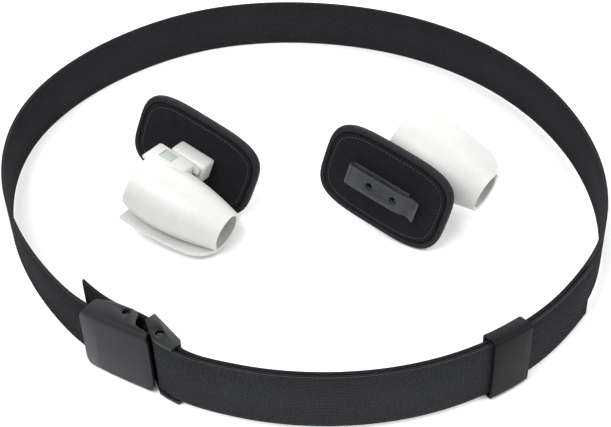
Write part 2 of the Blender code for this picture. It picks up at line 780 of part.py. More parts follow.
def sleeve_radius(u):
    """The middle radius of the sleeve's wall, from its wide end at 0 to its narrow end at 1."""
    wide, narrow = SLEEVE_WIDE_RADIUS, SLEEVE_NARROW_RADIUS
    return wide + (narrow - wide) * u**1.7 + SLEEVE_BULGE * math.sin(math.pi * u) - SLEEVE_WALL / 2


def sweep_sizes():
    """What the sleeve sweeps as it slides: the largest radius, and its axis's highest and lowest place."""
    largest = max(sleeve_radius(k / 20) for k in range(21)) + SLEEVE_WALL / 2 + SLACK
    drop = math.tan(SLEEVE_TILT)
    highest = SLEEVE_HEIGHT - (STEM_X[0] - SLEEVE_START) * drop
    lowest = SLEEVE_HEIGHT - (STEM_X[1] - SLEEVE_START + SLEEVE_SLIDE) * drop
    return largest, highest, lowest


def sleeve_out():
    """How far the sleeve's axis stands off the pad, which keeps the sliding wall clear of the rail."""
    largest, _, lowest = sweep_sizes()
    beside = lowest - (RAIL_Z + RAIL_HEAD / 2)
    return RAIL_TOP + math.sqrt(largest**2 - beside**2)


def sleeve_frame():
    """The sleeve's own frame in the holder: X along its axis, which dips a little to the narrow end."""
    place = Matrix.Translation((SLEEVE_START, SLEEVE_OUT, SLEEVE_HEIGHT))
    return place @ Matrix.Rotation(SLEEVE_TILT, 4, "Y")


SLEEVE_OUT = sleeve_out()


def sleeve_section(u, steps=20):
    """The wall in section: from the slot, over the back and the stem's side, then straight on as the flap."""
    r = sleeve_radius(u)
    slot = 50 - 34 * (1 - u) ** 5
    points = [
        (r * math.cos(a), r * math.sin(a)) for a in np.radians(np.linspace(slot, -270, steps))
    ]
    closing = max(0.0, u - (1 - FLAP_CORNER / SLEEVE_LENGTH)) * SLEEVE_LENGTH / FLAP_CORNER
    flap = FLAP_WIDTH * math.sqrt(max(0.0, 1 - closing**2)) + FLAP_LAND
    return points + [(flap * k / 4, r) for k in (1, 2, 3, 4)]


def sleeve_mesh(name):
    rings = [[(u * SLEEVE_LENGTH, y, z) for y, z in sleeve_section(u)] for u in SLEEVE_STATIONS]
    mesh = loft(name, rings, closed_rings=False)
    mesh.transform(sleeve_frame())
    return mesh


def turned(name, extra, start, end):
    """A solid round the sleeve's axis, larger or smaller than its wall's middle by extra."""
    rings = []
    for u in np.linspace(start, end, 12):
        r = sleeve_radius(min(1.0, max(0.0, u))) + extra
        angles = [2 * math.pi * k / 36 for k in range(36)]
        rings.append([(u * SLEEVE_LENGTH, r * math.cos(a), r * math.sin(a)) for a in angles])
    mesh = loft(name, rings)
    mesh.transform(sleeve_frame())
    return mesh


def sleeve_sweep(side, parent):
    """What the sleeve's round wall passes through as it slides off its rail, which the stem leaves free."""
    radius, highest, lowest = sweep_sizes()
    rings = []
    for x in (-SLEEVE_LENGTH, 2 * SLEEVE_LENGTH):
        ring = []
        for angle in np.radians(np.arange(5, 365, 10)):
            middle = highest if math.sin(angle) > 0 else lowest
            ring.append((x, SLEEVE_OUT + radius * math.cos(angle), middle + radius * math.sin(angle)))
        rings.append(ring)
    return add_cutter(f"{side}_sleeve_sweep", loft(f"{side}_sleeve_sweep", rings), parent)


def sleeve_boss(side, parent):
    """The block between the rail and the sleeve, cut away where the sleeve's bore is."""
    name = f"{side}_boss"
    low = (BOSS_X[0], STEM_TOP + CLEARANCE, -STEM_Z)
    high = (BOSS_X[1], SLEEVE_OUT + OVERCUT, STEM_Z * BOSS_TOP)
    boss = add_cutter(name, box(name, low, high, BOSS_ROUNDING), parent)
    bore = turned(f"{side}_sleeve_bore", 0.0, -0.3, 1.2)
    combine(boss, "DIFFERENCE", add_cutter(f"{side}_sleeve_bore", bore, parent))
    return boss


def rail_groove(side, parent):
    """Cutters for the groove that the rail's neck and head slide in, open at both ends of the boss."""
    low, high = BOSS_X[0] - SLEEVE_SLIDE / 3, BOSS_X[1] + SLEEVE_SLIDE / 3
    neck = box(
        f"{side}_groove_neck",
        (low, STEM_TOP - SLACK, RAIL_Z - RAIL_NECK / 2 - CLEARANCE),
        (high, RAIL_TOP, RAIL_Z + RAIL_NECK / 2 + CLEARANCE),
    )
    head = box(
        f"{side}_groove_head",
        (low, STEM_TOP + RAIL_HEIGHT / 2 - CLEARANCE, RAIL_Z - RAIL_HEAD / 2 - CLEARANCE),
        (high, RAIL_TOP + CLEARANCE, RAIL_Z + RAIL_HEAD / 2 + CLEARANCE),
    )
    return [add_cutter(f"{side}_groove_neck", neck, parent), add_cutter(f"{side}_groove_head", head, parent)]


def sleeve(side, parent):
    """The split sleeve with its flap, and the boss under it that slides on the stem's rail."""
    name = f"{side}_sleeve"
    shell = add_part(name, sleeve_mesh(name), parent, shell_finish(), pivot=(STEM_X[0], STEM_TOP, RAIL_Z))
    solidify(shell, SLEEVE_WALL)
    combine(shell, "UNION", sleeve_boss(side, parent))
    combine(shell, "DIFFERENCE", *rail_groove(side, parent))
    latch_button(side, parent, shell)


def latch_button(side, parent, shell):
    """A press button let into the boss's face, above the rail."""
    half = BUTTON_SIDE / 2
    x = STEM_X[0] + BUTTON_FROM_STEM
    y = RAIL_TOP + CLEARANCE + BUTTON_LAND + half
    face = -STEM_Z
    room = half + CLEARANCE
    floor = face + BUTTON_THICKNESS + BUTTON_TRAVEL + CLEARANCE
    pocket = box(f"{side}_button_pocket", (x - room, y - room, face - OVERCUT), (x + room, y + room, floor))
    combine(shell, "DIFFERENCE", add_cutter(f"{side}_button_pocket", pocket, parent))
    name = f"{side}_latch_button"
    high = (x + half, y + half, face + BUTTON_THICKNESS)
    button = box(name, (x - half, y - half, face), high, CLEARANCE, 1)
    add_part(name, button, parent, button_finish(), pivot=(x, y, face))


def holder(side, place):
    """One pole holder, standing at its place in the ring."""
    frame = bpy.data.objects.new(f"{side}_holder", None)
    parts.objects.link(frame)
    turn = Matrix.Rotation(math.radians(place["turn"]), 4, "Z")
    lean = Matrix.Rotation(math.radians(place["lean"]), 4, "X")
    roll = Matrix.Rotation(math.radians(place["roll"]), 4, "Y")
    flip = Matrix.Rotation(math.pi if place["flip"] else 0, 4, "X")
    frame.matrix_world = Matrix.Translation((*place["at"], 0)) @ turn @ lean @ roll @ flip
    pads(side, frame)
    stem_block(side, frame)
    clip_leaf(side, frame, clip_base(side, frame))
    screws(side, frame)
    sleeve(side, frame)
    return frame


# ---------------------------------------------------------------- assembly


def belt():
    """The belt and buckle, tipped so that the webbing's back and the buckle's bottom both touch the floor."""
    frame = bpy.data.objects.new("belt", None)
    parts.objects.link(frame)
    strap_main(frame)
    strap_tail(frame)
    keeper_loop(frame)
    buckle = bpy.data.objects.new("buckle", None)
    parts.objects.link(buckle)
    buckle.parent = frame
    buckle.matrix_local = BUCKLE
    buckle_cover(buckle)
    buckle_pin("cover_pin", COVER_PIN, COVER_PIN_RADIUS, PIN_TOP, buckle)
    clamp_frame(buckle)
    buckle_pin("clamp_pin", CLAMP_PIN, CLAMP_PIN_RADIUS, PIN_TOP, buckle)
    buckle_pin("hook_bar", HOOK_BAR, HOOK_BAR_RADIUS, EAR_TOP - EAR_SKIN - CLEARANCE, buckle)
    below = FLANGE_TOP - HALF_WEBBING
    webbing_back = RING[:, 1].max() + WEBBING / 2
    flange_back = max(at_buckle(x, y)[1] for x, y in cover_side_limit())
    frame.rotation_euler = Euler((-math.atan(below / (webbing_back - flange_back)), 0, 0))
    return frame


def corners_of(objects):
    """The lowest and highest corners of some objects, as evaluated."""
    bpy.context.view_layer.update()
    graph = bpy.context.evaluated_depsgraph_get()
    points = []
    for part in objects:
        evaluated = part.evaluated_get(graph)
        mesh = evaluated.to_mesh()
        co = np.empty(len(mesh.vertices) * 3)
        mesh.vertices.foreach_get("co", co)
        world = np.array(evaluated.matrix_world)
        points.append(co.reshape(-1, 3) @ world[:3, :3].T + world[:3, 3])
        evaluated.to_mesh_clear()
    points = np.vstack(points)
    return points.min(axis=0), points.max(axis=0)


def settle(frame):
    """Stands a frame and its parts on the floor."""
    members = [child for child in frame.children_recursive if child.type == "MESH" and not child.hide_render]
    low, _ = corners_of(members)
    frame.location.z -= low[2]


def assemble():
    frames = [belt()] + [holder(side, place) for side, place in HOLDERS.items()]
    for frame in frames:
        settle(frame)
    low, high = corners_of([part for part in parts.objects if part.type == "MESH"])
    for frame in frames:
        frame.location.x -= (low[0] + high[0]) / 2
        frame.location.y -= (low[1] + high[1]) / 2


assemble()
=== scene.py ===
"""The looks of a waist belt with two clip-on pole holders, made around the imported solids."""
import json
import math

import bmesh
import bpy
import numpy as np
from mathutils import Euler, Matrix, Vector


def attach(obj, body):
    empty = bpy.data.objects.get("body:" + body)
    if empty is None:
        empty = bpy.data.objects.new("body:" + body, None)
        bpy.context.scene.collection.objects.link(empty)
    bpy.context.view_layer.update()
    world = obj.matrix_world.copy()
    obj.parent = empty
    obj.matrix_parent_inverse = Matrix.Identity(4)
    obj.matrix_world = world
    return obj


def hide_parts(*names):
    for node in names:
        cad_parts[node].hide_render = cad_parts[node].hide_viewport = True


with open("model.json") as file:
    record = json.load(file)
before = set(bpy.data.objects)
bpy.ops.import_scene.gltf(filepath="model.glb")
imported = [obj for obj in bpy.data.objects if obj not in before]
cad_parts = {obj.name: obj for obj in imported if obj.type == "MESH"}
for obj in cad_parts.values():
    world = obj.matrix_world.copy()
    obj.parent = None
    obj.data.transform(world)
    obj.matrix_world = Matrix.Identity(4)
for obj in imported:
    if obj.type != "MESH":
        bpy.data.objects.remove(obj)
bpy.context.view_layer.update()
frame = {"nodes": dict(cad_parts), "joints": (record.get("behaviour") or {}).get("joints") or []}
joints = {joint["name"]: joint for joint in frame["joints"]}
BELT_UP = Vector(joints["keeper_travel"]["axis"]).normalized()
BELT_TURN = Matrix.Rotation(math.atan2(-BELT_UP.y, BELT_UP.z), 4, "X")

# Camera
CAMERA_AT = (0.0054, -0.6463, 0.4716)
CAMERA_PITCH = math.radians(37.09)
CAMERA_ROLL = math.radians(-2.415)
CAMERA_LENS = 67.8

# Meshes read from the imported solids
MERGE_DISTANCE = 0.000002
FLAT_ANGLE = math.radians(1)

# Webbing
RIB_PITCH = 0.00135
RIB_WIDTH = 0.00118
RIB_SHORT = 0.0014
CORE_THINNING = 0.00042
CORE_SHORT = 0.0002
CORE_LIP = 0.0011
CORE_LIP_THINNING = 0.0001
CORE_LIP_POINTS = 7
PATH_STEP = 0.0015
BEAD = 0.00062
TAIL_BEAD = 0.8 * BEAD
WEFT_PITCH = 0.0011
UPPER_NORMAL = 0.9

# Pads
PAD_SQUARENESS = 3.8
EDGING_WIDTH = 0.0042
PAD_GAP = 0.0002
RIM_SHORT = 0.0004
TONGUE = 0.0015
TONGUE_HALF = 0.0004
PAD_ROLL = 0.0017
SEAM_IN = 0.0026
SEAM_DEPTH = 0.0006
SEAM_HALF = 0.0008
SEAM_STITCH = 0.0026
SEAM_LIFT = 0.00012
SEAM_POINTS = 240
STITCH_SHARE = 0.8
THREAD = 0.00045
RIM_SAMPLES = 1440
PAD_POINTS = 168
PAD_NEAR_RISE = 0.0007
PAD_SINK = 0.00018
PAD_SINK_RUN = 0.004
PAD_UNEVENNESS = 0.00007
PAD_DEPTHS = (
    *(0, 0.0003, 0.0008, 0.0014, 0.0019, 0.0023, 0.0026, 0.0029, 0.0033, 0.0039),
    *(0.0048, 0.006, 0.0075, 0.0095, 0.012, 0.0145, 0.017, 0.0195, 0.022),
)
PAD_WAYS = {"front": 1, "back": -1}

# The pads' cloth simulation, and the cap on what it moves
PAD_PUFF = 0.0005
HELD_BY_SEAM = 0.0004
FREE_DEPTH = 0.013
CLOTH_FRAMES = 20
CLOTH_SETTINGS = {
    "vertex_group_mass": "held",
    "quality": 5,
    "use_pressure": True,
    "uniform_pressure_force": 4.0,
    "tension_stiffness": 12,
    "compression_stiffness": 12,
    "bending_stiffness": 0.3,
    "shrink_min": -0.03,
}
FACE_ALLOWANCE = 0.000075
FACE_ALLOWANCE_RUN = 0.00025

# Edging
EDGING_POINTS = 260
EDGING_SIDES = 22
EDGING_SHORT = 0.0001
EDGING_POWER = 0.8
PUCKER_LOSS = 0.014
PUCKER_WAVE = 0.018
PUCKER_STEP = 1.9
PUCKER_LEAN = 1.5
PUCKER_RIPPLE = 0.012
PUCKER_DRIFT = 0.2

# Sleeves, drawn with X towards the narrow end, Y from the pad to the sleeve, Z to the flap
HINGE_FROM_HOLDER = (-0.0220, -0.0094, 0.0)
SLEEVE_WALL = 0.0023
SLEEVE_WIDE_RADIUS = 0.0205
SLEEVE_NARROW_RADIUS = 0.0138
SLEEVE_BULGE = 0.0022
SLEEVE_LENGTH = 0.068
SLEEVE_START = -0.0150
SLEEVE_RISE = 0.0014
SLEEVE_TILT = math.radians(2.6)
FLAP_WIDTH = 0.0175
FLAP_CORNER = 0.0150
MOULD_LINE_AT = 0.60
MOULD_LINE_HEIGHT = 0.00009
MOULD_LINE_HALF = 0.004
SLEEVE_CURVE = 1.7
SLEEVE_ROUNDING = 0.0006
RADIUS_SAMPLES = 50
WALL_POINTS = 72
WALL_END = -270
SLOT_EDGE = 50
SLOT_NARROWING = 34
SLOT_CURVE = 5
FLAP_LAND = 0.0012
FLAP_POINTS = 10
SLEEVE_STATIONS = (
    *np.linspace(0, 0.56, 24),
    *np.linspace(0.58, 0.62, 13),
    *np.linspace(0.64, 0.96, 20),
    *(0.972, 0.982, 0.989, 0.994, 0.998, 1.0),
)

# The boss under each sleeve, and the pocket in it for the latch button
BOSS_LEAD = 0.0085
BOSS_LAG = 0.0060
BOSS_DROP = 0.0045
BOSS_REACH = 0.002
BOSS_HEIGHT = 0.0101
BOSS_ROUNDING = 0.0024
BOSS_OVERLAP = 0.0007
FIT_GAP = 0.0003
POCKET_ABOVE = 0.0015
POCKET_BELOW = 0.002

# Cross recess of the screws
CROSS_HALF_LENGTH = 0.0016
CROSS_HALF_WIDTH = 0.00028
CROSS_PROUD = 0.001
CROSS_DEPTH = 0.0007

# Finishes
CHARCOAL = (0.0032, 0.0032, 0.0040)
# Lighter webbing grey: mostly painted highlight dots on the weft, and a little random tone
TONE_AND_GLINT_GREY = (0.048, 0.050, 0.059)
WHITE = (0.555, 0.557, 0.54)

# Studio: each light's name, place, size and power
LIGHTS = (
    ("key", (-0.55, -0.75, 1.25), 0.9, 16),
    ("fill", (0.95, -0.35, 0.9), 1.2, 7),
    ("rim", (0.1, 1.1, 0.8), 1.0, 7),
)
LIGHTS_AIM = Vector((0, 0, 0.02))
SKY_STRENGTH = 0.92
FLOOR_HALF = 4


# ---------------------------------------------------------------- node trees


class Wire:
    """A socket that does arithmetic: each step of an expression adds its Math node."""

    def __init__(self, owner, socket):
        self.owner = owner
        self.socket = socket

    def maths(self, operation, first, second=0.0):
        return self.owner.node("ShaderNodeMath", {"operation": operation}, {0: first, 1: second})

    def __add__(self, other):
        return self.maths("ADD", self, other)

    def __mul__(self, other):
        return self.maths("MULTIPLY", self, other)

    def __pow__(self, other):
        return self.maths("POWER", self, other)

    __radd__ = __add__
    __rmul__ = __mul__

    def sine(self):
        return self.maths("SINE", self)


class Nodes:
    """A node tree with one way to add a node."""

    def __init__(self, tree):
        self.tree = tree

    def node(self, kind, settings, sockets, output=0):
        """Adds a node: its settings first, then values or wires for its sockets."""
        made = self.tree.nodes.new(kind)
        for name, value in settings.items():
            if name == "stops":
                self.set_stops(made.color_ramp, value)
            else:
                setattr(made, name, value)
        for name, value in sockets.items():
            self.feed(made.inputs[name], value)
        return Wire(self, made.outputs[output])

    def feed(self, socket, value):
        if isinstance(value, Wire):
            self.tree.links.new(value.socket, socket)
        else:
            socket.default_value = value

    def set_stops(self, ramp, stops):
        ramp.elements[0].position, ramp.elements[-1].position = stops[0][0], stops[-1][0]
        greys = ((*[value] * 3, 1) for value in (stops[0][1], stops[-1][1]))
        ramp.elements[0].color, ramp.elements[-1].color = greys
        for position, value in stops[1:-1]:
            ramp.elements.new(position).color = (*[value] * 3, 1)


class Finish(Nodes):
    """A material: a shader with its fixed numbers, and the patterns that feed it."""

    def __init__(self, name, numbers):
        self.material = bpy.data.materials.new(name)
        self.material.use_nodes = True
        super().__init__(self.material.node_tree)
        self.shader = self.tree.nodes["Principled BSDF"]
        for socket, value in numbers.items():
            self.shader.inputs[socket].default_value = value
        self.place = self.node("ShaderNodeTexCoord", {}, {}, "Object")

    def noise(self, scale, detail=3.0, stretch=(1, 1, 1)):
        at = self.node("ShaderNodeMapping", {}, {"Vector": self.place, "Scale": stretch})
        return self.node("ShaderNodeTexNoise", {}, {"Vector": at, "Scale": scale, "Detail": detail})

    def ramp(self, value, *stops):
        return self.node("ShaderNodeValToRGB", {"stops": stops}, {"Fac": value})

    def mix(self, share, first, second):
        colours = [c if isinstance(c, Wire) else (*c, 1) for c in (first, second)]
        sockets = {0: share, 6: colours[0], 7: colours[1]}
        return self.node("ShaderNodeMix", {"data_type": "RGBA"}, sockets, 2)

    def parts_of(self, vector):
        return [self.node("ShaderNodeSeparateXYZ", {}, {0: vector}, i) for i in range(3)]

    def uv(self):
        return self.node("ShaderNodeUVMap", {"uv_map": "UVMap"}, {})

    def edges(self, low=0.52, high=0.60):
        """1 along convex edges, 0 elsewhere."""
        sharp = self.node("ShaderNodeNewGeometry", {}, {}, "Pointiness")
        return self.ramp(sharp, (low, 0), (high, 1))

    def wear(self, colour, roughness, height, distance, strength=1.0):
        """Feeds the shader: a colour, a roughness, and a bump of that height pattern in metres."""
        self.feed(self.shader.inputs["Base Color"], colour)
        self.feed(self.shader.inputs["Roughness"], roughness)
        sockets = {"Height": height, "Distance": distance, "Strength": strength}
        self.feed(self.shader.inputs["Normal"], self.node("ShaderNodeBump", {}, sockets))
        return self.material


# ---------------------------------------------------------------- finishes


def webbing_finish(name, dark, light):
    """Matt woven nylon: picks of weft across each rib, with painted highlights as rows of small lighter
    dots where they would catch the light.
    """
    finish = Finish(name, {"Sheen Weight": 0.02, "Sheen Roughness": 0.5, "Specular IOR Level": 0.15})
    dot = {"operation": "DOT_PRODUCT"}
    height = finish.node("ShaderNodeVectorMath", dot, {0: finish.place, 1: BELT_UP}, "Value")
    picks = (height * (2 * math.pi / WEFT_PITCH)).sine() * 0.5 + 0.5
    fibre = finish.noise(2600, 2.0)
    patches = finish.noise(38, 3.0)
    # Painted highlights: the crests of the picks, broken up by noise, lighten the colour as small dots
    dots = picks ** 4.0 * finish.ramp(finish.noise(900, 1.0), (0.30, 0.45), (0.60, 1.0))
    # The light colour takes the painted highlight dots and a little random patchy tone
    colour = finish.mix(dots * 0.85 + patches * 0.10, dark, light)
    roughness = finish.ramp(fibre, (0.3, 0.72), (0.7, 0.90))
    return finish.wear(colour, roughness, picks + fibre * 0.5, 0.00028, 1.0)


def selvage_finish():
    """The closely bound thread along a strap's edges."""
    finish = Finish("selvage_thread", {"Sheen Weight": 0.03, "Specular IOR Level": 0.25})
    twist = finish.noise(1500, 2.0, (1, 1, 3))
    colour = finish.mix(twist, (0.003, 0.003, 0.004), (0.014, 0.014, 0.017))
    return finish.wear(colour, finish.ramp(twist, (0.3, 0.7), (0.7, 0.88)), twist, 0.0001)


def moulding_finish():
    """Smooth satin black plastic, a little polished by handling."""
    finish = Finish("satin_black_moulding", {"Specular IOR Level": 0.1})
    grain = finish.noise(1400, 2.0)
    smears = finish.noise(60, 3.0)
    polish = smears * 0.6 + finish.edges() * 0.3
    colour = finish.mix(polish, (0.0028, 0.0028, 0.0036), (0.0075, 0.0075, 0.0095))
    return finish.wear(colour, finish.ramp(smears, (0.3, 0.38), (0.7, 0.52)), grain, 0.00004, 0.5)


def plated_finish(name, dark, light, worn):
    """Satin dark plating on pressed metal, with a fine blast grain and worn edges."""
    coat = {"Coat Weight": 0.05, "Coat Roughness": 0.3}
    finish = Finish(name, {"Metallic": 0.35, "Specular IOR Level": 0.22, **coat})
    clouds = finish.noise(45, 4.0)
    grain = finish.noise(1900, 2.0)
    base = finish.mix(finish.ramp(clouds, (0.35, 0), (0.68, 1)), dark, light)
    colour = finish.mix(finish.edges(0.53, 0.64) * 0.8, base, worn)
    roughness = finish.ramp(clouds * 0.6 + grain * 0.4, (0.35, 0.36), (0.65, 0.50))
    return finish.wear(colour, roughness, grain, 0.00005, 0.6)


def steel_finish():
    """Dark turned steel."""
    finish = Finish("dark_steel", {"Metallic": 1.0})
    rings = finish.noise(900, 2.0, (1, 1, 0.15))
    colour = finish.mix(rings, (0.022, 0.022, 0.024), (0.06, 0.06, 0.064))
    return finish.wear(colour, finish.ramp(rings, (0.3, 0.25), (0.7, 0.42)), rings, 0.00004, 0.5)


def pad_finish():
    """Matt black knitted cloth: fine loops that follow the pad's own surface."""
    sheen = {"Sheen Weight": 0.03, "Sheen Roughness": 0.45}
    finish = Finish("black_pad_cloth", {**sheen, "Specular IOR Level": 0.18})
    across, along, _ = finish.parts_of(finish.uv())
    loops = (across * 9000).sine() * (along * 9000 + (across * 4500).sine() * 0.7).sine()
    fluff = finish.noise(700, 4.0)
    patches = finish.noise(55, 3.0)
    colour = finish.mix(patches * 0.5 + loops * 0.18, (0.0030, 0.0028, 0.0042), (0.0085, 0.0080, 0.0115))
    roughness = finish.ramp(fluff, (0.3, 0.78), (0.7, 0.94))
    return finish.wear(colour, roughness, loops * 0.5 + fluff, 0.00012, 0.8)


def edging_finish():
    """Bound black tape, a little smoother than the pad cloth, with ribs across it."""
    sheen = {"Sheen Weight": 0.04, "Sheen Roughness": 0.4}
    finish = Finish("black_edging", {**sheen, "Specular IOR Level": 0.25})
    _, along, _ = finish.parts_of(finish.uv())
    ribs = (along * 7800).sine() * 0.5 + 0.5
    fibre = finish.noise(1100, 3.0)
    share = finish.noise(70, 3.0) * 0.6 + ribs * 0.15
    colour = finish.mix(share, (0.0040, 0.0039, 0.0056), (0.0120, 0.0116, 0.0160))
    roughness = finish.ramp(fibre, (0.3, 0.62), (0.7, 0.82))
    return finish.wear(colour, roughness, ribs * 0.6 + fibre, 0.00010, 0.7)


def thread_finish():
    finish = Finish("sewing_thread", {"Sheen Weight": 0.2})
    twist = finish.noise(2400, 1.0)
    colour = finish.mix(twist, (0.012, 0.012, 0.015), (0.045, 0.045, 0.052))
    return finish.wear(colour, finish.ramp(twist, (0.3, 0.5), (0.7, 0.7)), twist, 0.00005)


def white_finish():
    """Satin white nylon moulding, with faint flow marks and a little dust in its texture."""
    finish = Finish("satin_white_moulding", {"Subsurface Weight": 0.08, "Specular IOR Level": 0.5})
    finish.shader.inputs["Subsurface Radius"].default_value = (0.004, 0.003, 0.002)
    flow = finish.noise(26, 4.0, (1, 1, 0.5))
    grain = finish.noise(1300, 2.0)
    dust = finish.ramp(finish.noise(210, 4.0), (0.56, 0), (0.74, 1))
    base = finish.mix(finish.ramp(flow, (0.35, 0), (0.7, 1)), WHITE, (0.515, 0.522, 0.503))
    colour = finish.mix(dust * 0.22, base, (0.42, 0.41, 0.37))
    roughness = finish.ramp(flow * 0.5 + grain * 0.5, (0.35, 0.34), (0.65, 0.46))
    return finish.wear(colour, roughness, grain + flow, 0.00005, 0.5)


def button_finish():
    finish = Finish("grey_button_moulding", {"Specular IOR Level": 0.45})
    grain = finish.noise(1500, 2.0)
    colour = finish.mix(finish.noise(120, 3.0), (0.34, 0.38, 0.36), (0.39, 0.43, 0.41))
    return finish.wear(colour, finish.ramp(grain, (0.3, 0.38), (0.7, 0.5)), grain, 0.00004, 0.5)


FINISHES = {
    "webbing": webbing_finish("charcoal_webbing", CHARCOAL, TONE_AND_GLINT_GREY),
    # The tail's webbing: its light colour is the painted highlight of its dots, brighter than the main
    # strap's
    "outer_webbing": webbing_finish(
        "charcoal_outer_webbing", (0.0036, 0.0037, 0.0046), (0.070, 0.074, 0.088)
    ),
    "selvage": selvage_finish(),
    "moulding": moulding_finish(),
    "buckle": plated_finish(
        "grey_plating", (0.0100, 0.0101, 0.0124), (0.0155, 0.0157, 0.0190), (0.06, 0.06, 0.068)
    ),
    "clamp": plated_finish(
        "green_grey_plating", (0.0062, 0.0078, 0.0072), (0.0105, 0.0128, 0.0119), (0.07, 0.08, 0.076)
    ),
    "steel": steel_finish(),
    "pad_cloth": pad_finish(),
    "edging": edging_finish(),
    "thread": thread_finish(),
    "shell": white_finish(),
    "button": button_finish(),
    "spring_steel": plated_finish(
        "blue_grey_coating", (0.030, 0.032, 0.041), (0.044, 0.047, 0.059), (0.12, 0.12, 0.135)
    ),
}


# ---------------------------------------------------------------- mesh helpers


def new_object(name, mesh):
    made = bpy.data.objects.new(name, mesh)
    bpy.context.scene.collection.objects.link(made)
    return made


def finished(name, bm):
    mesh = bpy.data.meshes.new(name)
    bm.to_mesh(mesh)
    bm.free()
    return mesh


def drop(*objects):
    for thing in objects:
        bpy.data.objects.remove(thing, do_unlink=True)


def apply_modifiers(thing):
    """Turns an object and its modifiers into a plain mesh of its own."""
    graph = bpy.context.evaluated_depsgraph_get()
    mesh = bpy.data.meshes.new_from_object(thing.evaluated_get(graph))
    thing.modifiers.clear()
    thing.data = mesh
    return thing


def combine(thing, operation, *others):
    for other in others:
        boolean = thing.modifiers.new(operation.lower(), "BOOLEAN")
        boolean.operation = operation
        boolean.object = other
    apply_modifiers(thing)


def round_edges(thing, width, segments=3, angle=35):
    edge = thing.modifiers.new("rounded edges", "BEVEL")
    edge.width = width
    edge.segments = segments
    edge.limit_method = "ANGLE"
    edge.angle_limit = math.radians(angle)
    apply_modifiers(thing)


def grid_mesh(name, rows, closed_rows=False, closed_around=False, cap=False, uv=None):
    """Skins rows of equal point counts; uv(i, j) gives each corner's place on the flat cloth."""
    rows = np.asarray(rows, float)
    count, around = rows.shape[:2]
    squares = [
        ((i, j), (i, j + 1), (i + 1, j + 1), (i + 1, j))
        for i in range(count if closed_rows else count - 1)
        for j in range(around if closed_around else around - 1)
    ]
    for i in (0, count - 1) if cap else ():
        for j in range(around // 2):
            rung = dict.fromkeys((j, j + 1, around - 1 - j, (around - j) % around))
            squares.append([(i, k) for k in rung])
    faces = [[(i % count) * around + j % around for i, j in square] for square in squares]
    mesh = bpy.data.meshes.new(name)
    mesh.from_pydata(rows.reshape(-1, 3).tolist(), [], faces)
    if uv:
        values = [uv(i, j) for square in squares for i, j in square]
        mesh.uv_layers.new(name="UVMap").data.foreach_set("uv", np.array(values, float).ravel())
    return mesh


def outward(mesh):
    bm = bmesh.new()
    bm.from_mesh(mesh)
    bmesh.ops.recalc_face_normals(bm, faces=bm.faces)
    bm.to_mesh(mesh)
    bm.free()
    return mesh


def box_mesh(name, low, high, rounding=0.0, segments=4):
    bm = bmesh.new()
    bmesh.ops.create_cube(bm, size=1)
    bmesh.ops.scale(bm, vec=[b - a for a, b in zip(low, high)], verts=bm.verts)
    bmesh.ops.translate(bm, vec=[(a + b) / 2 for a, b in zip(low, high)], verts=bm.verts)
    if rounding:
        shape = {"segments": segments, "affect": "EDGES", "profile": 0.5}
        bmesh.ops.bevel(bm, geom=bm.edges[:], offset=rounding, **shape)
    return finished(name, bm)


def show(piece, body, slot, finish=None, replaces=(), sharp=40):
    """Gives a piece its finish and its place in the frame."""
    piece.data.materials.clear()
    piece.data.materials.append(FINISHES[finish or slot])
    piece.data.shade_smooth()
    piece.data.set_sharp_from_angle(angle=math.radians(sharp))
    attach(piece, body)
    if replaces:
        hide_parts(*replaces)


def merged_copy(node, name):
    """A copy of a CAD node's mesh with its loose triangles joined and its flat faces whole."""
    bm = bmesh.new()
    bm.from_mesh(frame["nodes"][node].data)
    bmesh.ops.remove_doubles(bm, verts=bm.verts, dist=MERGE_DISTANCE)
    bmesh.ops.dissolve_limit(bm, angle_limit=FLAT_ANGLE, verts=bm.verts, edges=bm.edges)
    return new_object(name, finished(name, bm))


def refined(node, body, slot, width, segments=2, angle=35, sharp=40):
    """A CAD piece with its corners softly rounded."""
    piece = merged_copy(node, f"{node}_finished")
    if width:
        round_edges(piece, width, segments, angle)
    show(piece, body, slot, replaces=[node], sharp=sharp)


# ---------------------------------------------------------------- webbing


def strap_plan(node):
    """The middle line, middle height, width and thickness of a strap, read from its upper face."""
    bm = bmesh.new()
    bm.from_mesh(frame["nodes"][node].data)
    bmesh.ops.remove_doubles(bm, verts=bm.verts, dist=MERGE_DISTANCE)
    bm.transform(BELT_TURN.inverted())
    bm.normal_update()
    upper = {face for face in bm.faces if face.normal.z > UPPER_NORMAL}
    ring = {}
    for edge in bm.edges:
        if sum(face in upper for face in edge.link_faces) == 1:
            a, b = edge.verts
            ring.setdefault(a, []).append(b)
            ring.setdefault(b, []).append(a)
    start = next(iter(ring))
    loop, here, before = [start], ring[start][0], start
    while here is not start:
        loop.append(here)
        here, before = next(v for v in ring[here] if v is not before), here
    points = np.array([v.co[:2] for v in loop])
    heights = [v.co.z for v in bm.verts]
    low, high = min(heights), max(heights)
    bm.free()
    steps = np.roll(points, -1, axis=0) - points
    steps /= np.linalg.norm(steps, axis=1)[:, None]
    turns = 1 - (steps * np.roll(steps, 1, axis=0)).sum(axis=1)
    half = len(points) // 2
    ends = [sum(turns[(k + d) % len(points)] for d in (0, 1, half, half + 1)) for k in range(half)]
    first = int(np.argmax(ends))
    side = [points[(first + 1 + i) % len(points)] for i in range(half)]
    other = [points[(first - i) % len(points)] for i in range(half)]
    thickness = float(np.median([np.linalg.norm(a - b) for a, b in zip(side, other)]))
    middle = [(a + b) / 2 for a, b in zip(side, other)]
    return np.array(middle), (low + high) / 2, high - low, thickness


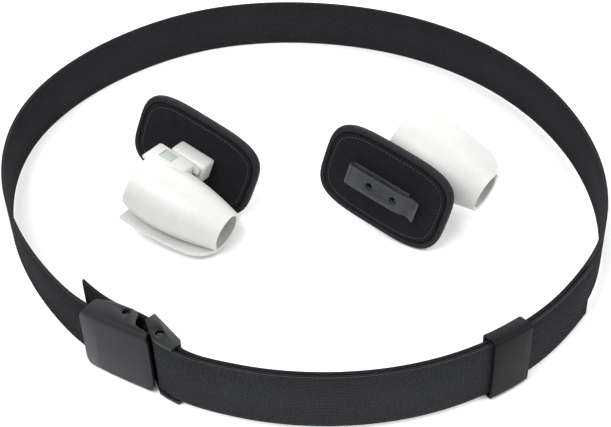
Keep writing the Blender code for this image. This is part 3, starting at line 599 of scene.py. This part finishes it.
def eased(points, step):
    """Points about a step apart on a smooth curve through the given ones."""
    points = np.array(points, float)
    padded = np.vstack([2 * points[0] - points[1], points, 2 * points[-1] - points[-2]])
    made = []
    for p0, p1, p2, p3 in zip(padded, padded[1:], padded[2:], padded[3:]):
        count = max(1, round(float(np.linalg.norm(p2 - p1)) / step))
        for t in np.arange(count) / count:
            made.append(0.5 * (2 * p1 + (p2 - p0) * t + (2 * p0 - 5 * p1 + 4 * p2 - p3) * t**2
                               + (3 * p1 - p0 - 3 * p2 + p3) * t**3))
    return np.vstack([made, points[-1:]])


def normals_of(path):
    ahead = np.gradient(path, axis=0)
    ahead /= np.linalg.norm(ahead, axis=1)[:, None]
    return np.column_stack([ahead[:, 1], -ahead[:, 0]])


def strap_core(name, path, middle, width, thickness):
    """The smooth body of a strap: flat faces, and bound edges that are a little fuller than the faces."""
    half, thick = width / 2 - CORE_SHORT, thickness / 2
    side = [(thick - CORE_THINNING, z) for z in (-half + 2 * CORE_LIP, 0.0, half - 2 * CORE_LIP)]
    angles = np.radians(np.linspace(0, 180, CORE_LIP_POINTS))
    reach, centre = thick - CORE_LIP_THINNING, half - CORE_LIP
    top = [(reach * math.cos(a), centre + CORE_LIP * math.sin(a)) for a in angles]
    section = side + top + [(-n, z) for n, z in reversed(side)] + [(n, -z) for n, z in reversed(top)]
    outs = normals_of(path)
    rows = [
        [(p[0] + n * o[0], p[1] + n * o[1], middle + z) for n, z in section] for p, o in zip(path, outs)
    ]
    mesh = grid_mesh(name, rows, closed_around=True, cap=True)
    mesh.transform(BELT_TURN)
    return new_object(name, outward(mesh))


def start_rule(name, numbers, materials, turning):
    """A tree with its inputs, the points at each pitch along its line of edges, and their headings."""
    tree = bpy.data.node_groups.new(name, "GeometryNodeTree")
    sockets = [("Geometry", "Geometry")]
    sockets += [(title, "Float") for title in numbers] + [(title, "Material") for title in materials]
    for title, kind in sockets:
        tree.interface.new_socket(title, in_out="INPUT", socket_type=f"NodeSocket{kind}")
    tree.interface.new_socket("Geometry", in_out="OUTPUT", socket_type="NodeSocketGeometry")
    rule = Nodes(tree)
    inlet = tree.nodes.new("NodeGroupInput")
    given = {socket.name: Wire(rule, socket) for socket in inlet.outputs if socket.name}
    line = rule.node("GeometryNodeMeshToCurve", {}, {"Mesh": given["Geometry"]})
    spacing = {"Curve": line, "Length": given["Pitch"]}
    points = rule.node("GeometryNodeResampleCurve", {"mode": "LENGTH"}, spacing)
    tangent = rule.node("GeometryNodeInputTangent", {}, {})
    heading = rule.node("FunctionNodeAlignRotationToVector", turning, {"Vector": tangent})
    return rule, given, points, heading


def place_on(rule, points, piece, heading, sizes=None):
    """Copies of a piece at the points, turned to their headings and scaled where sizes are given."""
    sockets = {"Points": points, "Instance": piece, "Rotation": heading}
    if sizes:
        sockets["Scale"] = rule.node("ShaderNodeCombineXYZ", {}, sizes)
    return rule.node("GeometryNodeInstanceOnPoints", {}, sockets)


def coloured(rule, copies, material):
    solid = rule.node("GeometryNodeRealizeInstances", {}, {0: copies})
    return rule.node("GeometryNodeSetMaterial", {}, {"Geometry": solid, "Material": material})


def end_rule(rule, socket):
    outlet = rule.tree.nodes.new("NodeGroupOutput")
    rule.tree.links.new(socket, outlet.inputs[0])
    return rule.tree


def rib_rule():
    """A tree that stands one rib at each pitch along a line, with a bead of thread at its two ends."""
    rule, given, points, heading = start_rule(
        "webbing_ribs",
        ("Pitch", "Rib Width", "Rib Depth", "Rib Height", "Bead", "Bead Height"),
        ("Rib Finish", "Bead Finish"),
        {"axis": "X", "pivot_axis": "Z"},
    )
    sizes = {"X": given["Rib Width"] * 0.5, "Y": given["Rib Depth"] * 0.5, "Z": given["Rib Height"]}
    bar = rule.node("GeometryNodeMeshCylinder", {}, {"Vertices": 8, "Radius": 1.0, "Depth": 1.0})
    kinds = [(place_on(rule, points, bar, heading, sizes), given["Rib Finish"])]
    ball = rule.node("GeometryNodeMeshIcoSphere", {}, {"Radius": given["Bead"], "Subdivisions": 1})
    for way in (1, -1):
        lift = rule.node("ShaderNodeCombineXYZ", {}, {"Z": given["Bead Height"] * way})
        edge = rule.node("GeometryNodeSetPosition", {}, {"Geometry": points, "Offset": lift})
        kinds.append((place_on(rule, edge, ball, heading), given["Bead Finish"]))
    join = rule.tree.nodes.new("GeometryNodeJoinGeometry")
    for copies, material in kinds:
        rule.tree.links.new(coloured(rule, copies, material).socket, join.inputs[0])
    return end_rule(rule, join.outputs[0])


def stitch_rule():
    """A tree that lays one stitch at each pitch along a line of edges."""
    rule, given, points, heading = start_rule(
        "stitch_row", ("Pitch", "Stitch Length", "Thread"), ("Finish",), {"axis": "X"}
    )
    sizes = {"X": given["Stitch Length"] * 0.5, "Y": given["Thread"] * 0.5, "Z": given["Thread"] * 0.5}
    ball = rule.node("GeometryNodeMeshUVSphere", {}, {"Segments": 8, "Rings": 5, "Radius": 1.0})
    laid = place_on(rule, points, ball, heading, sizes)
    return end_rule(rule, coloured(rule, laid, given["Finish"]).socket)


def run_rule(name, tree, mesh, values):
    """Runs a tree on a mesh, with its inputs set by identifier, and keeps the result as a plain mesh."""
    made = new_object(name, mesh)
    modifier = made.modifiers.new("rule", "NODES")
    modifier.node_group = tree
    for item in tree.interface.items_tree:
        if item.in_out == "INPUT" and item.name in values:
            modifier[item.identifier] = values[item.name]
    return apply_modifiers(made)


def line_mesh(name, points):
    mesh = bpy.data.meshes.new(name)
    mesh.from_pydata([tuple(p) for p in points], [(i, i + 1) for i in range(len(points) - 1)], [])
    return mesh


RIB_RULE = rib_rule()
STITCH_RULE = stitch_rule()


def strap(node, finish, bead):
    plan, middle, width, thickness = strap_plan(node)
    path = eased(plan, PATH_STEP)
    core = strap_core(f"{node}_cloth", path, middle, width, thickness)
    show(core, "belt", "webbing", finish, [node], sharp=60)
    line = line_mesh(f"{node}_ribs", [BELT_TURN @ Vector((*p, middle)) for p in path])
    ribs = run_rule(
        f"{node}_ribs",
        RIB_RULE,
        line,
        {
            "Pitch": RIB_PITCH,
            "Rib Width": RIB_WIDTH,
            "Rib Depth": thickness,
            "Rib Height": width - 2 * RIB_SHORT,
            "Bead": bead,
            "Bead Height": width / 2 - bead,
            "Rib Finish": FINISHES[finish],
            "Bead Finish": FINISHES["selvage"],
        },
    )
    ribs.data.shade_smooth()
    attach(ribs, "belt")


def make_belt():
    strap("strap_main", "webbing", BEAD)
    strap("strap_tail", "outer_webbing", TAIL_BEAD)
    refined("keeper_loop", "keeper", "moulding", 0.0005, 3)


def make_buckle():
    refined("buckle_cover", "buckle_cover", "buckle", 0.0004, 3, 50)
    refined("clamp_frame", "belt", "clamp", 0.00025, 2)
    for node in ("cover_pin", "clamp_pin", "hook_bar"):
        refined(node, "belt", "steel", 0.0002, 2, 60, 50)


# ---------------------------------------------------------------- pole holders


def holder_frame(side):
    """A holder's own frame, from the axes of its joints."""
    along = -Vector(joints[f"{side}_sleeve_slide"]["axis"]).normalized()
    up = Vector(joints[f"{side}_button_press"]["axis"]).normalized()
    out = up.cross(along)
    turn = Matrix((along, out, up)).transposed()
    hinge = Vector(joints[f"{side}_clip_flex"]["pos_m"])
    return Matrix.Translation(hinge - turn @ Vector(HINGE_FROM_HOLDER)) @ turn.to_4x4()


def extents(node, place):
    """A CAD node's lowest and highest corners in a holder's frame."""
    back = np.array(place.inverted())
    co = np.array([v.co[:] for v in frame["nodes"][node].data.vertices])
    local = co @ back[:3, :3].T + back[:3, 3]
    return local.min(axis=0), local.max(axis=0)


def signed_power(value, power):
    return math.copysign(abs(value) ** power, value)


def pad_point(half_length, half_height, inset, angle):
    """A point of the pad's rounded outline, drawn in by inset."""
    power = 2 / PAD_SQUARENESS
    c, s = math.cos(angle), math.sin(angle)
    return np.array([
        (half_length - inset) * signed_power(c, power),
        (half_height - inset) * signed_power(s, power),
    ])


def rim_angles(half_length, half_height, count):
    """Angles whose points lie evenly round the pad."""
    fine = np.linspace(0, 2 * math.pi, RIM_SAMPLES)
    rim = np.array([pad_point(half_length, half_height, 0, a) for a in fine])
    along = np.concatenate([[0], np.cumsum(np.linalg.norm(np.diff(rim, axis=0), axis=1))])
    return np.interp(np.linspace(0, along[-1], count, endpoint=False), along, fine)


def outline(half_length, half_height, inset, angles):
    return [pad_point(half_length, half_height, inset, a) for a in angles]


def ripple(x, z, seed):
    """A small smooth unevenness, from -1 to 1."""
    return (
        math.sin(210 * x + 1.7 * seed) * math.sin(260 * z + 0.9 * seed)
        + 0.6 * math.sin(530 * x - 410 * z + seed)
        + 0.4 * math.sin(790 * z + 620 * x + 2.1 * seed)
    ) / 2


def pad_profile(from_rim, near, face):
    """The height of a pad's skin this far in from its rim: a soft roll, a sewn seam, then a flat middle."""
    roll = min(1.0, from_rim / PAD_ROLL)
    height = near + (face - near) * math.sqrt(max(0.0, 1 - (1 - roll) ** 2))
    dip = math.exp(-(((from_rim - SEAM_IN) / SEAM_HALF) ** 2))
    sink = PAD_SINK * min(1.0, max(0.0, (from_rim - SEAM_IN) / PAD_SINK_RUN))
    return height - SEAM_DEPTH * dip - sink


def blow(piece, held, limit):
    """Puffs a pad's free skin with a short cloth simulation, then caps how far each point has moved."""
    rest = np.array([v.co[:] for v in piece.data.vertices])
    group = piece.vertex_groups.new(name="held")
    group.add([int(i) for i in held], 1.0, "REPLACE")
    cloth = piece.modifiers.new("cloth", "CLOTH")
    for setting, value in CLOTH_SETTINGS.items():
        setattr(cloth.settings, setting, value)
    cloth.settings.effector_weights.gravity = 0
    cloth.collision_settings.use_collision = False
    cloth.point_cache.frame_start = 1
    cloth.point_cache.frame_end = CLOTH_FRAMES
    for number in range(1, CLOTH_FRAMES + 1):
        bpy.context.scene.frame_set(number)
    apply_modifiers(piece)
    bpy.context.scene.frame_set(1)
    moved = np.array([v.co[:] for v in piece.data.vertices]) - rest
    length = np.linalg.norm(moved, axis=1)[:, None]
    moved *= np.minimum(1.0, limit / np.maximum(length, 1e-9))
    piece.vertex_groups.clear()
    piece.data.vertices.foreach_set("co", (rest + moved).ravel())
    piece.data.update()


def pad_half(side, which, place, half_length, half_height, near, face, seed):
    """One cloth-covered layer: a skin from rim to middle, and the flat side that lies on the stiffener."""
    way = PAD_WAYS[which]
    inset = EDGING_WIDTH + PAD_GAP
    angles = rim_angles(half_length, half_height, PAD_POINTS)
    rings = []
    for depth in PAD_DEPTHS:
        points = outline(half_length, half_height, inset + depth, angles)
        height = pad_profile(depth, near + PAD_NEAR_RISE, face)
        rings.append([(x, way * (height + PAD_UNEVENNESS * ripple(x, z, seed)), z) for x, z in points])
    rings = [[(x, way * near, z) for x, _, z in ring] for ring in rings[::-1]] + rings
    name = f"{side}_pad_{which}_cushion"
    flat = np.array(rings)[:, :, [0, 2]]
    mesh = grid_mesh(name, rings, closed_around=True, cap=True, uv=lambda i, j: flat[i, j % PAD_POINTS])
    piece = new_object(name, outward(mesh))
    skin = len(PAD_DEPTHS)
    free = set()
    for i, depth in enumerate(PAD_DEPTHS[1:-1], skin + 1):
        if abs(depth - SEAM_IN) > HELD_BY_SEAM and depth < FREE_DEPTH:
            free.update(range(i * PAD_POINTS, (i + 1) * PAD_POINTS))
    held = [v for v in range(len(mesh.vertices)) if v not in free]
    blow(piece, held, PAD_PUFF)
    limit_face(piece, way, face)
    piece.data.transform(place)
    subdivide(piece)
    show(piece, f"{side}_holder", "pad_cloth", replaces=[f"{side}_pad_{which}"], sharp=70)


def limit_face(piece, way, face):
    """Keeps a pad's skin behind the plane that its neighbours stand on."""
    for vertex in piece.data.vertices:
        over = vertex.co.y * way - face
        if over > 0:
            vertex.co.y = way * (face + FACE_ALLOWANCE * math.tanh(over / FACE_ALLOWANCE_RUN))


def subdivide(piece):
    smooth = piece.modifiers.new("smooth", "SUBSURF")
    smooth.levels = smooth.render_levels = 1
    apply_modifiers(piece)


def edging(side, place, half_length, half_height, half_thick):
    """The rolled binding: a soft tube round the rim, with small puckers."""
    angles = rim_angles(half_length, half_height, EDGING_POINTS)
    outer = np.array(outline(half_length, half_height, RIM_SHORT, angles))
    inner = np.array(outline(half_length, half_height, EDGING_WIDTH, angles))
    rows = []
    for k, (far, close) in enumerate(zip(outer, inner)):
        middle, reach = (far + close) / 2, (far - close) / 2
        row = []
        for j in range(EDGING_SIDES):
            angle = 2 * math.pi * j / EDGING_SIDES
            c, s = math.cos(angle), math.sin(angle)
            wave = PUCKER_WAVE * math.sin(k * PUCKER_STEP + PUCKER_LEAN * s)
            pucker = 1 - PUCKER_LOSS + wave + PUCKER_RIPPLE * ripple(*(2 * middle), j * PUCKER_DRIFT)
            x, z = middle + reach * signed_power(c, EDGING_POWER) * pucker
            if 2 * j == EDGING_SIDES:
                tip = close - (far - close) * TONGUE / EDGING_WIDTH
                for spot, way in ((close, 1), (tip, 1), (tip, -1), (close, -1)):
                    row.append((spot[0], way * TONGUE_HALF, spot[1]))
            else:
                row.append((x, (half_thick - EDGING_SHORT) * signed_power(s, EDGING_POWER) * pucker, z))
        rows.append(row)
    girth = 2 * math.pi * half_thick
    total = float(np.linalg.norm(np.diff(outer, axis=0), axis=1).sum())
    name = f"{side}_pad_edging_roll"
    mesh = grid_mesh(
        name,
        rows,
        closed_rows=True,
        closed_around=True,
        uv=lambda i, j: (girth * j / EDGING_SIDES, total * i / EDGING_POINTS),
    )
    piece = new_object(name, outward(mesh))
    piece.data.transform(place)
    show(piece, f"{side}_holder", "edging", replaces=[f"{side}_pad_edging"], sharp=80)


def seam(side, which, place, half_length, half_height, near, face):
    """The sewn line inside the rolled border."""
    way = PAD_WAYS[which]
    height = way * (pad_profile(SEAM_IN, near + PAD_NEAR_RISE, face) + SEAM_LIFT)
    angles = rim_angles(half_length, half_height, SEAM_POINTS)
    points = outline(half_length, half_height, EDGING_WIDTH + PAD_GAP + SEAM_IN, angles)
    points = [place @ Vector((x, height, z)) for x, z in points]
    name = f"{side}_pad_{which}_seam"
    values = {
        "Pitch": SEAM_STITCH,
        "Stitch Length": SEAM_STITCH * STITCH_SHARE,
        "Thread": THREAD,
        "Finish": FINISHES["thread"],
    }
    stitches = run_rule(name, STITCH_RULE, line_mesh(name, points + points[:1]), values)
    stitches.data.shade_smooth()
    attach(stitches, f"{side}_holder")


def sleeve_radius(u):
    """The middle radius of the sleeve's wall, from its wide end at 0 to its narrow end at 1."""
    fall = (SLEEVE_NARROW_RADIUS - SLEEVE_WIDE_RADIUS) * u**SLEEVE_CURVE
    line = MOULD_LINE_HEIGHT * math.exp(-(((u - MOULD_LINE_AT) / MOULD_LINE_HALF) ** 2))
    return SLEEVE_WIDE_RADIUS + fall + SLEEVE_BULGE * math.sin(math.pi * u) - SLEEVE_WALL / 2 + line


def sleeve_section(u):
    """The wall in section: from the slot, over the back and the stem's side, then on as the flap."""
    r = sleeve_radius(u)
    slot = SLOT_EDGE - SLOT_NARROWING * (1 - u) ** SLOT_CURVE
    angles = np.radians(np.linspace(slot, WALL_END, WALL_POINTS))
    points = [(r * math.cos(a), r * math.sin(a)) for a in angles]
    closing = max(0.0, u - (1 - FLAP_CORNER / SLEEVE_LENGTH)) * SLEEVE_LENGTH / FLAP_CORNER
    flap = FLAP_WIDTH * math.sqrt(max(0.0, 1 - closing**2)) + FLAP_LAND
    return points + [(flap * k / FLAP_POINTS, r) for k in range(1, FLAP_POINTS + 1)]


def sleeve_place(node, place, block_low):
    """The sleeve's own frame in the holder, its stand-off read from the solid."""
    _, high = extents(node, place)
    radii = [sleeve_radius(k / RADIUS_SAMPLES) for k in range(RADIUS_SAMPLES + 1)]
    largest = max(radii) + SLEEVE_WALL / 2
    lift = block_low[2] + SLEEVE_WIDE_RADIUS + SLEEVE_RISE
    spot = Matrix.Translation((SLEEVE_START, high[1] - largest, lift))
    return spot @ Matrix.Rotation(SLEEVE_TILT, 4, "Y")


def turned(name, extra, start, end):
    """A solid round the sleeve's axis, larger than its wall's middle by extra."""
    rows = []
    angles = np.radians(np.arange(0, 360, 4))
    for u in np.linspace(start, end, 40):
        r = sleeve_radius(min(1.0, max(0.0, u))) + extra
        rows.append([(u * SLEEVE_LENGTH, r * math.cos(a), r * math.sin(a)) for a in angles])
    return outward(grid_mesh(name, rows, closed_around=True, cap=True))


def sleeve(side, place):
    """The split sleeve with its flap, and the boss that runs on the stem's rail."""
    node = f"{side}_sleeve"
    block_low, block_high = extents(f"{side}_stem_block", place)
    button_low, button_high = extents(f"{side}_latch_button", place)
    spot = sleeve_place(node, place, block_low)
    rows = [[(u * SLEEVE_LENGTH, y, z) for y, z in sleeve_section(u)] for u in SLEEVE_STATIONS]
    mesh = outward(grid_mesh(f"{node}_moulding", rows))
    mesh.transform(spot)
    shell = new_object(f"{node}_moulding", mesh)
    wall = shell.modifiers.new("wall", "SOLIDIFY")
    wall.thickness = SLEEVE_WALL
    wall.offset = 0
    wall.use_even_offset = True
    apply_modifiers(shell)
    round_edges(shell, SLEEVE_ROUNDING, 3, 60)
    boss_low = (block_low[0] - BOSS_LEAD, button_low[1] - BOSS_DROP, block_low[2])
    boss_high = (
        block_high[0] - BOSS_LAG,
        spot.translation.y + BOSS_REACH,
        block_low[2] + BOSS_HEIGHT,
    )
    boss = new_object(f"{node}_boss", box_mesh("boss", boss_low, boss_high, BOSS_ROUNDING, 5))
    bore_mesh = turned("bore", SLEEVE_WALL / 2 - BOSS_OVERLAP, -0.3, 1.2)
    bore_mesh.transform(spot)
    bore = new_object("bore", bore_mesh)
    pocket_low = button_low - (FIT_GAP, FIT_GAP, POCKET_BELOW)
    pocket_high = button_high + (FIT_GAP, FIT_GAP, POCKET_ABOVE)
    pocket = new_object("pocket", box_mesh("pocket", pocket_low, pocket_high))
    combine(boss, "DIFFERENCE", bore, pocket)
    combine(shell, "DIFFERENCE", pocket)
    drop(bore, pocket)
    for piece, replaced in ((shell, [node]), (boss, [])):
        piece.data.transform(place)
        show(piece, node, "shell", replaces=replaced, sharp=32)
    refined(f"{side}_latch_button", f"{side}_button", "button", 0.0003, 2)


def screw(side, number, place):
    """A pan head with a cross recess on a plain shank."""
    node = f"{side}_screw_{number}"
    piece = merged_copy(node, f"{node}_finished")
    low, high = extents(node, place)
    x, z = (low[0] + high[0]) / 2, (low[2] + high[2]) / 2
    for turn in (45, 135):
        cross = box_mesh(
            "cross",
            (-CROSS_HALF_LENGTH, low[1] - CROSS_PROUD, -CROSS_HALF_WIDTH),
            (CROSS_HALF_LENGTH, low[1] + CROSS_DEPTH, CROSS_HALF_WIDTH),
        )
        cross.transform(place @ Matrix.Translation((x, 0, z)) @ Matrix.Rotation(math.radians(turn), 4, "Y"))
        cutter = new_object("cross", cross)
        combine(piece, "DIFFERENCE", cutter)
        drop(cutter)
    show(piece, f"{side}_holder", "steel", replaces=[node])


def make_holder(side, seed):
    place = holder_frame(side)
    _, (half_length, half_thick, half_height) = extents(f"{side}_pad_edging", place)
    (_, near, _), (_, face, _) = extents(f"{side}_pad_front", place)
    for k, which in enumerate(("front", "back")):
        pad_half(side, which, place, half_length, half_height, near, face, seed + k)
        seam(side, which, place, half_length, half_height, near, face)
    edging(side, place, half_length, half_height, half_thick)
    refined(f"{side}_stiffener", f"{side}_holder", "moulding", 0)
    refined(f"{side}_stem_block", f"{side}_holder", "shell", 0, sharp=50)
    sleeve(side, place)
    refined(f"{side}_clip_base", f"{side}_holder", "spring_steel", 0.0002)
    refined(f"{side}_clip_leaf", f"{side}_clip", "spring_steel", 0.0002)
    for number in (1, 2):
        screw(side, number, place)


# ---------------------------------------------------------------- studio


def add_camera():
    data = bpy.data.cameras.new("view")
    data.lens = CAMERA_LENS
    data.sensor_width = 36
    camera = new_object("view", data)
    camera.location = CAMERA_AT
    level = Euler((math.pi / 2 - CAMERA_PITCH, 0, 0)).to_matrix()
    camera.rotation_euler = (level @ Euler((0, 0, CAMERA_ROLL)).to_matrix()).to_euler()
    bpy.context.scene.camera = camera


def add_light(name, place, size, power):
    data = bpy.data.lights.new(name, "AREA")
    data.shape = "DISK"
    data.size = size
    data.energy = power
    light = new_object(name, data)
    light.location = place
    light.rotation_euler = (LIGHTS_AIM - Vector(place)).to_track_quat("-Z", "Y").to_euler()


def add_studio():
    world = bpy.data.worlds.new("studio")
    bpy.context.scene.world = world
    world.use_nodes = True
    sky = world.node_tree.nodes["Background"]
    sky.inputs["Color"].default_value = (1, 1, 1, 1)
    sky.inputs["Strength"].default_value = SKY_STRENGTH
    bpy.context.scene.view_settings.view_transform = "Standard"
    for light in LIGHTS:
        add_light(*light)
    bm = bmesh.new()
    bmesh.ops.create_grid(bm, x_segments=1, y_segments=1, size=FLOOR_HALF)
    floor = new_object("floor", finished("floor", bm))
    pale = Finish("pale_floor", {"Roughness": 0.85, "Specular IOR Level": 0.2})
    mottle = pale.noise(3, 2.0)
    colour = pale.mix(mottle, (0.97, 0.97, 0.97), (0.98, 0.98, 0.98))
    floor.data.materials.append(pale.wear(colour, 0.85, mottle, 0.0001))


add_camera()
make_belt()
make_buckle()
make_holder("left", 1)
make_holder("right", 4)
add_studio()
